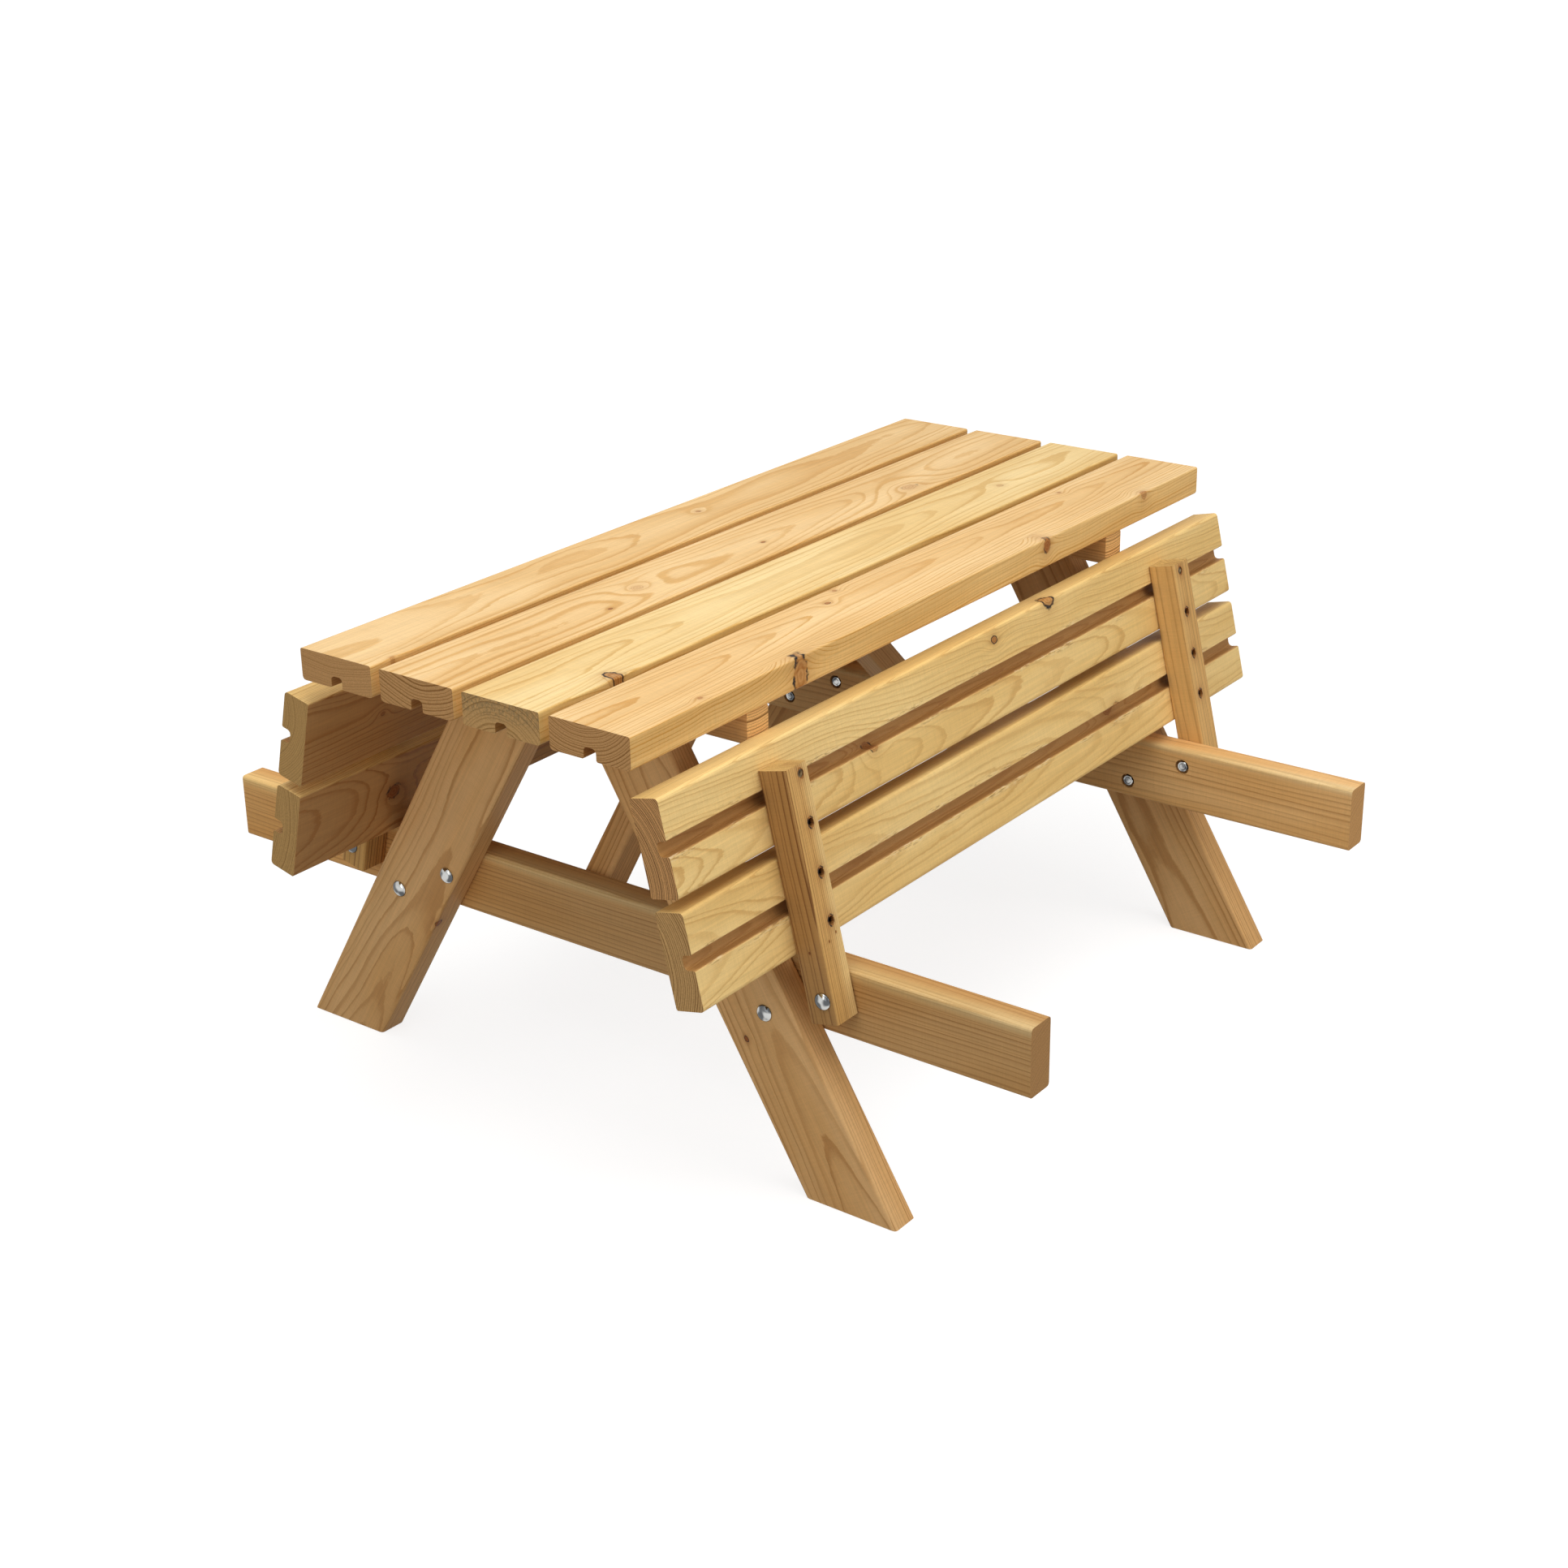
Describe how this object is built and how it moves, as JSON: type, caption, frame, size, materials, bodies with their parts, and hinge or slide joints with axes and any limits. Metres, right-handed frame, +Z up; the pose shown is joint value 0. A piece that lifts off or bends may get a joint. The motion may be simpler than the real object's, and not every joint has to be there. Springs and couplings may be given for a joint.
{
  "type": "kids picnic table",
  "caption": "Child-size wooden picnic table: plank top on two A-shaped end frames joined by seat beams, with a plank bench on each side that folds up on carriage bolts to lean beside the top.",
  "frame": {"origin": "centre of the footprint on the floor, under the middle of the top", "axes": "+Z up, X along the top with the near end at -X, Y across it with the left bench at +Y and the right bench at -Y"},
  "size_m": [1.2, 1.2, 0.588],
  "materials": {
    "top_timber": "planed softwood, straight grain with knots",
    "leg_timber": "planed softwood, darker heartwood",
    "beam_timber": "planed softwood with a pale sapwood strip along its top edge",
    "rail_timber": "planed softwood",
    "seat_timber": "planed softwood, yellow sapwood",
    "cleat_timber": "planed softwood, red-brown heartwood",
    "zinc": "bright zinc plate"
  },
  "bodies": {
    "table_frame": {"top_board_1": "top_timber", "top_board_2": "top_timber", "top_board_3": "top_timber", "top_board_4": "top_timber", "middle_top_cleat": "rail_timber", "near_seat_beam": "beam_timber", "near_top_rail": "rail_timber", "near_brace": "rail_timber", "near_left_leg": "leg_timber", "near_left_leg_outer_bolt": "zinc", "near_left_leg_outer_washer": "zinc", "near_left_leg_outer_nut": "zinc", "near_left_leg_inner_bolt": "zinc", "near_left_leg_inner_washer": "zinc", "near_left_leg_inner_nut": "zinc", "near_right_leg": "leg_timber", "near_right_leg_outer_bolt": "zinc", "near_right_leg_outer_washer": "zinc", "near_right_leg_outer_nut": "zinc", "near_right_leg_inner_bolt": "zinc", "near_right_leg_inner_washer": "zinc", "near_right_leg_inner_nut": "zinc", "far_seat_beam": "beam_timber", "far_top_rail": "rail_timber", "far_brace": "rail_timber", "far_left_leg": "leg_timber", "far_left_leg_outer_bolt": "zinc", "far_left_leg_outer_washer": "zinc", "far_left_leg_outer_nut": "zinc", "far_left_leg_inner_bolt": "zinc", "far_left_leg_inner_washer": "zinc", "far_left_leg_inner_nut": "zinc", "far_right_leg": "leg_timber", "far_right_leg_outer_bolt": "zinc", "far_right_leg_outer_washer": "zinc", "far_right_leg_outer_nut": "zinc", "far_right_leg_inner_bolt": "zinc", "far_right_leg_inner_washer": "zinc", "far_right_leg_inner_nut": "zinc"},
    "left_bench": {"left_seat_board_inner": "seat_timber", "left_seat_board_outer": "seat_timber", "left_near_seat_cleat": "cleat_timber", "left_near_pivot_bolt": "zinc", "left_near_pivot_washer": "zinc", "left_near_pivot_nut": "zinc", "left_far_seat_cleat": "cleat_timber", "left_far_pivot_bolt": "zinc", "left_far_pivot_washer": "zinc", "left_far_pivot_nut": "zinc"},
    "right_bench": {"right_seat_board_inner": "seat_timber", "right_seat_board_outer": "seat_timber", "right_near_seat_cleat": "cleat_timber", "right_near_pivot_bolt": "zinc", "right_near_pivot_washer": "zinc", "right_near_pivot_nut": "zinc", "right_far_seat_cleat": "cleat_timber", "right_far_pivot_bolt": "zinc", "right_far_pivot_washer": "zinc", "right_far_pivot_nut": "zinc"}
  },
  "joints": [
    {"name": "left_bench_fold", "type": "hinge", "parent": "table_frame", "child": "left_bench", "pos_m": [0, 0.36101, 0.25576], "axis": [-1, 0, 0], "range_deg": [0, 103.2]},
    {"name": "right_bench_fold", "type": "hinge", "parent": "table_frame", "child": "right_bench", "pos_m": [0, -0.36101, 0.25576], "axis": [1, 0, 0], "range_deg": [0, 103.2]}
  ]
}
